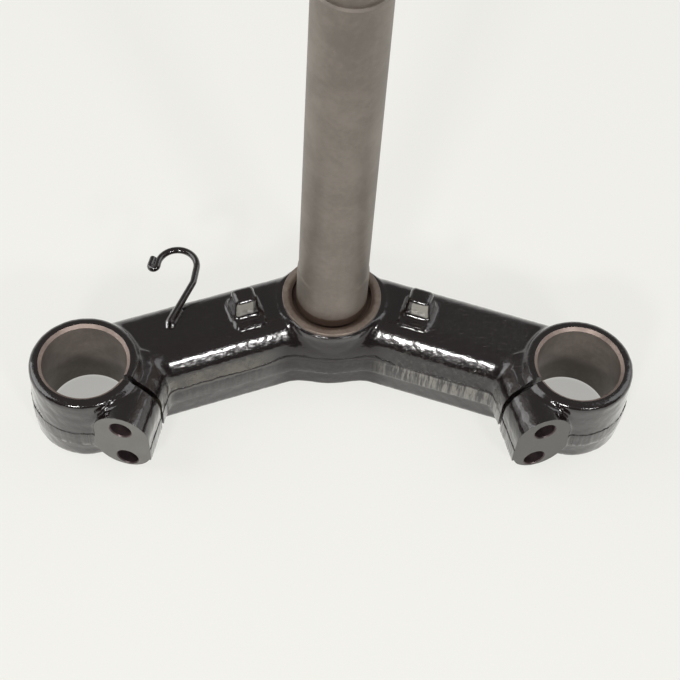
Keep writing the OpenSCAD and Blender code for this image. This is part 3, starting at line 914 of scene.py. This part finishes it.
def weld():
    """Overlapping drops of weld metal on both sides of the wire's foot, and two streaks in front of it."""
    leg = Vector((math.cos(WIRE_TURN), math.sin(WIRE_TURN), 0))
    across = Vector((-math.sin(WIRE_TURN), math.cos(WIRE_TURN), 0))
    foot = wire_foot(-1.9)
    pieces = []
    for i in range(7):
        for side in (-1, 1):
            drop = bmesh.new()
            bmesh.ops.create_icosphere(drop, subdivisions=4, radius=1.0)
            size = (1.3 + 0.15 * rng.uniform(-1, 1), 1.5 + 0.15 * rng.uniform(-1, 1), 1.2)
            bmesh.ops.scale(drop, vec=size, verts=drop.verts)
            pieces.append(placed(drop, x=leg, at=foot + leg * (1.7 + 1.3 * i) + across * side * 1.5))
    for x, y in ((-81.4, -18.4), (-78.6, -18.15)):
        streak = bmesh.new()
        bmesh.ops.create_cone(streak, cap_ends=True, segments=16, radius1=0.9, radius2=0.9, depth=4.0)
        pieces.append(placed(streak, x=(1, 0, 0), z=(0.04, -2.4, -2.5), at=(x, y, -1.05)))
    return pieces


def hose_guide():
    """The wire and its weld as one skin, cut off inside the arm's top."""
    ob = solid("wire_guide", [PAINT], wire(), *weld())
    join = ob.modifiers.new("join", "REMESH")
    join.mode = "VOXEL"
    join.voxel_size = 0.28 * MM
    blend = ob.modifiers.new("blend", "SMOOTH")
    blend.factor, blend.iterations = 0.5, 4
    apply_modifiers(ob)
    cut(ob, solid("below", [PAINT], block((-200, -100, -30), (200, 100, -1.98))))
    return smooth(ob, 60)


hook = hose_guide()
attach(hook, "root")
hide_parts("hose_guide")


# Floor, light and camera
def floor():
    """A white floor, of which its own glow leaves only faint shadows in the picture.

    It is darker inside the fork bores, and far in front of the yoke where the paint mirrors it."""
    sh = Shader("white floor")
    colour = sh.mix(sh.noise(0.004, 3.0, 0.6), (0.80, 0.795, 0.76), (0.84, 0.835, 0.80))
    normal = sh.bump(sh.noise(0.5, 2.0, 0.6, seed=3.0), 0.05, 0.2)
    material = sh.finish(Base_Color=colour, Roughness=0.7, Specular_IOR_Level=0.25, Normal=normal)
    seen = sh.source("ShaderNodeLightPath", "Is Camera Ray")
    mirrored = sh.source("ShaderNodeLightPath", "Is Glossy Ray")
    far = (sh.y * -1.0).step(200.0, 340.0) * mirrored
    in_bores = sh.radius(FORK_X, FORK_Y).min(sh.radius(-FORK_X, FORK_Y)).step(19.0, 25.0, 0.32, 0.0)
    glow = sh.node("ShaderNodeEmission", {}, {"Color": (0.955, 0.95, 0.905), "Strength": 1.0 - far * 0.9})
    share = seen.max(mirrored) * (0.72 - in_bores) + far * 0.28
    mixed = sh.node("ShaderNodeMixShader", {}, {0: share, 1: Sock(sh, sh.bsdf.outputs[0]), 2: glow})
    sh.plug(mixed, sh.tree.nodes["Material Output"].inputs["Surface"])
    half, thick, gap = 2600, 12, 0.1
    ob = solid("floor", [material], block((-half, -half, UNDER - thick), (half, half, UNDER - gap)))


def lamp(name, at, target, size, power, colour):
    """A rectangular lamp that faces its target, in metres and watts."""
    data = bpy.data.lights.new(name, "AREA")
    data.shape = "RECTANGLE"
    data.size, data.size_y = size
    data.energy = power
    data.color = colour
    ob = bpy.data.objects.new(name, data)
    bpy.context.scene.collection.objects.link(ob)
    ob.location = Vector(at)
    ob.rotation_mode = "QUATERNION"
    ob.rotation_quaternion = (Vector(target) - Vector(at)).to_track_quat("-Z", "Y")


def studio():
    """A pale wall all round, dark in front and darker overhead."""
    world = bpy.data.worlds.new("studio")
    bpy.context.scene.world = world
    world.use_nodes = True
    nodes = Nodes(world.node_tree)
    _, y, up = nodes.parts(nodes.source("ShaderNodeTexCoord", "Generated"))
    front = (y * -1.0).step(0.05, 0.30) * up.fall(0.40, 0.62)
    background = nodes.tree.nodes["Background"].inputs
    nodes.plug(up.step(0.22, 0.55, 0.85, 0.20) * (1.0 - front * 0.90), background["Strength"])
    nodes.plug((0.94, 0.925, 0.90), background["Color"])


def camera():
    """The photo's camera: its angles, its focal length in the photo's pixels and its place in mm."""
    yaw, pitch, roll = 0.0905, 0.9504, 0.0798
    focal, photo_width, sensor = 1573.36, 680, 36.0
    at = Vector((-37.034, -473.767, 626.811))
    fwd = Vector((math.sin(yaw) * math.cos(pitch), math.cos(yaw) * math.cos(pitch), -math.sin(pitch)))
    level = Vector((math.cos(yaw), -math.sin(yaw), 0))
    upright = level.cross(fwd)
    right = math.cos(roll) * level + math.sin(roll) * upright
    up = -math.sin(roll) * level + math.cos(roll) * upright
    cam = bpy.data.cameras.new("camera")
    cam.sensor_width = sensor
    cam.lens = focal / photo_width * sensor
    cam.clip_start, cam.clip_end = 0.01, 50
    ob = bpy.data.objects.new("camera", cam)
    bpy.context.scene.collection.objects.link(ob)
    m = Matrix((right, up, -fwd)).transposed().to_4x4()
    m.translation = at * MM
    ob.matrix_world = m
    bpy.context.scene.camera = ob


YOKE_FRONT, ORIGIN = (0, -0.05, 0), (0, 0, 0)
floor()
lamp("front_left", (-0.62, -1.6, 1.05), YOKE_FRONT, size=(0.26, 0.2), power=14, colour=(1.0, 0.99, 0.97))
lamp("front_right", (0.78, -1.58, 1.0), YOKE_FRONT, size=(0.26, 0.2), power=11, colour=(1.0, 0.99, 0.98))
lamp("left", (-1.6, 0.3, 1.3), ORIGIN, size=(1.6, 1.6), power=16, colour=(1.0, 1.0, 1.0))
lamp("right", (1.5, 0.4, 1.5), ORIGIN, size=(1.5, 1.5), power=9, colour=(0.98, 0.99, 1.0))
studio()
camera()
bpy.context.scene.view_settings.view_transform = "Standard"
